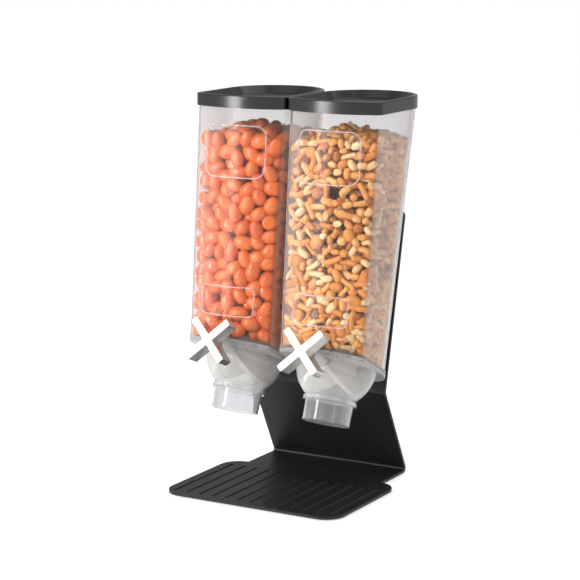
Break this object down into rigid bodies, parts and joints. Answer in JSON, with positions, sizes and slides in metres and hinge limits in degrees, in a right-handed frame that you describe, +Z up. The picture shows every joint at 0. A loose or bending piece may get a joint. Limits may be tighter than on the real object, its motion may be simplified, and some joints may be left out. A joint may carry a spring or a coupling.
{
  "type": "cereal dispenser",
  "caption": "Tabletop dispenser with paired clear hoppers, black lids and X-shaped knobs that turn portion wheels over short spouts, on a bent sheet stand with a slotted base.",
  "frame": {"origin": "on the surface the foot pads stand on, under the middle of the whole dispenser", "axes": "+X to the user's right, +Y to the back, +Z up; the knobs face -Y"},
  "size_m": [0.2528, 0.239, 0.48],
  "materials": {
    "powder_coat": "fine satin black powder coat",
    "black_steel": "satin black",
    "clear_polycarbonate": "clear moulded",
    "clear_housing": "clear moulded",
    "clear_spout": "clear moulded",
    "black_plastic": "semi-gloss moulded",
    "white_silicone": "soft satin",
    "silicone": "translucent satin",
    "white_plastic": "moulded",
    "black_rubber": "matt",
    "stainless": "turned",
    "chrome": "polished"
  },
  "bodies": {
    "base": {"stand": "powder_coat", "foot_pads": "black_rubber", "rail_screws": "stainless", "left_hanging_rail": "black_steel", "right_hanging_rail": "black_steel"},
    "left_hopper": {"left_hopper": "clear_polycarbonate", "left_outlet_gasket": "silicone", "left_wheel_housing": "clear_housing", "left_spout": "clear_spout", "left_front_bush": "white_plastic", "left_rear_bush": "white_plastic", "left_shaft_seal": "silicone"},
    "left_lid": {"left_lid": "black_plastic", "left_lid_seal": "silicone"},
    "left_rotor": {"left_portion_wheel": "white_silicone", "left_wheel_core": "white_plastic", "left_drive_shaft": "stainless", "left_thrust_washer": "stainless", "left_knob": "chrome", "left_knob_screw": "stainless"},
    "right_hopper": {"right_hopper": "clear_polycarbonate", "right_outlet_gasket": "silicone", "right_wheel_housing": "clear_housing", "right_spout": "clear_spout", "right_front_bush": "white_plastic", "right_rear_bush": "white_plastic", "right_shaft_seal": "silicone"},
    "right_lid": {"right_lid": "black_plastic", "right_lid_seal": "silicone"},
    "right_rotor": {"right_portion_wheel": "white_silicone", "right_wheel_core": "white_plastic", "right_drive_shaft": "stainless", "right_thrust_washer": "stainless", "right_knob": "chrome", "right_knob_screw": "stainless"}
  },
  "joints": [
    {"name": "left_hopper_lift", "type": "slide", "parent": "base", "child": "left_hopper", "axis": [0, 0.2198, 0.9755], "range_m": [0, 0.07]},
    {"name": "left_lid_lift", "type": "slide", "parent": "left_hopper", "child": "left_lid", "axis": [0, 0, 1], "range_m": [0, 0.06]},
    {"name": "left_knob_turn", "type": "hinge", "parent": "left_hopper", "child": "left_rotor", "pos_m": [-0.0638, -0.01296, 0.1593], "axis": [0, 0.9272, -0.3746], "continuous": true},
    {"name": "right_hopper_lift", "type": "slide", "parent": "base", "child": "right_hopper", "axis": [0, 0.2198, 0.9755], "range_m": [0, 0.07]},
    {"name": "right_lid_lift", "type": "slide", "parent": "right_hopper", "child": "right_lid", "axis": [0, 0, 1], "range_m": [0, 0.06]},
    {"name": "right_knob_turn", "type": "hinge", "parent": "right_hopper", "child": "right_rotor", "pos_m": [0.0638, -0.01296, 0.1593], "axis": [0, 0.9272, -0.3746], "continuous": true}
  ]
}
